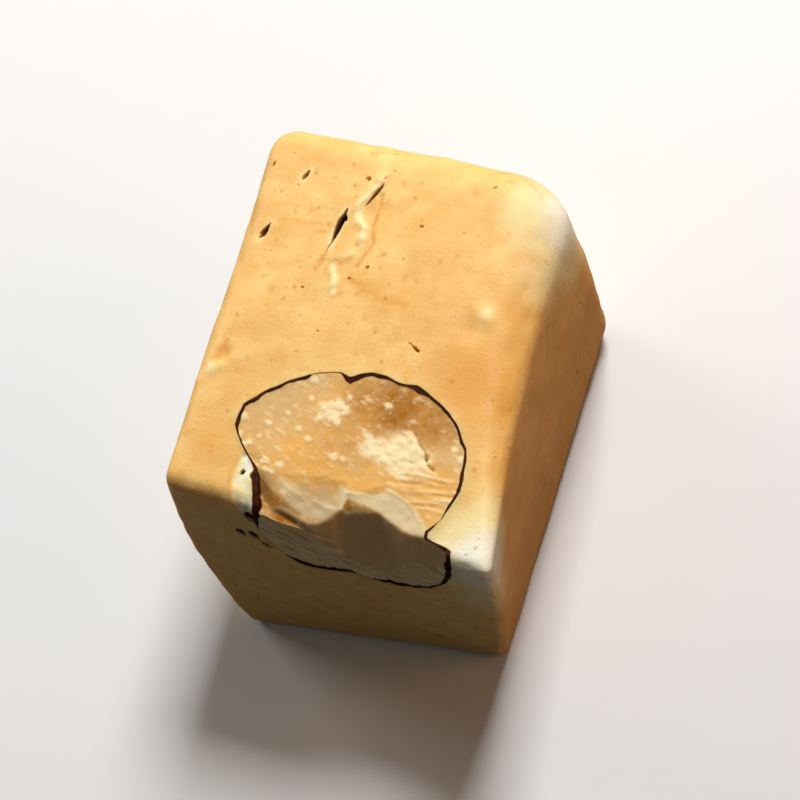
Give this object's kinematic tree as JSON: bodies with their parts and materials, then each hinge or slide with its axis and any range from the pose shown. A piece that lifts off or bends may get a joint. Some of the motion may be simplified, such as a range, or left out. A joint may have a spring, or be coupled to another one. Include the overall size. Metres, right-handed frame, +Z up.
{
  "type": "nougat block",
  "caption": "Hand-cut block of cream nougat with rounded edges, a large cut almond across its top and front and a smaller one low on the back.",
  "frame": {"origin": "middle of the bounding box, on the flat base", "axes": "+Z up, +Y from the front face with the large almond to the back face, +X to the right seen from the front"},
  "size_m": [0.0322, 0.039, 0.0232],
  "materials": {
    "nougat": "cream nougat, smooth knife-cut faces with a faint satin sheen",
    "almond": "cut almond kernel, pale tan and crumbly, with a thin dark brown skin round it"
  },
  "bodies": {
    "root": {"nougat_block": "nougat", "almond_front": "almond", "almond_back": "almond"}
  },
  "joints": []
}
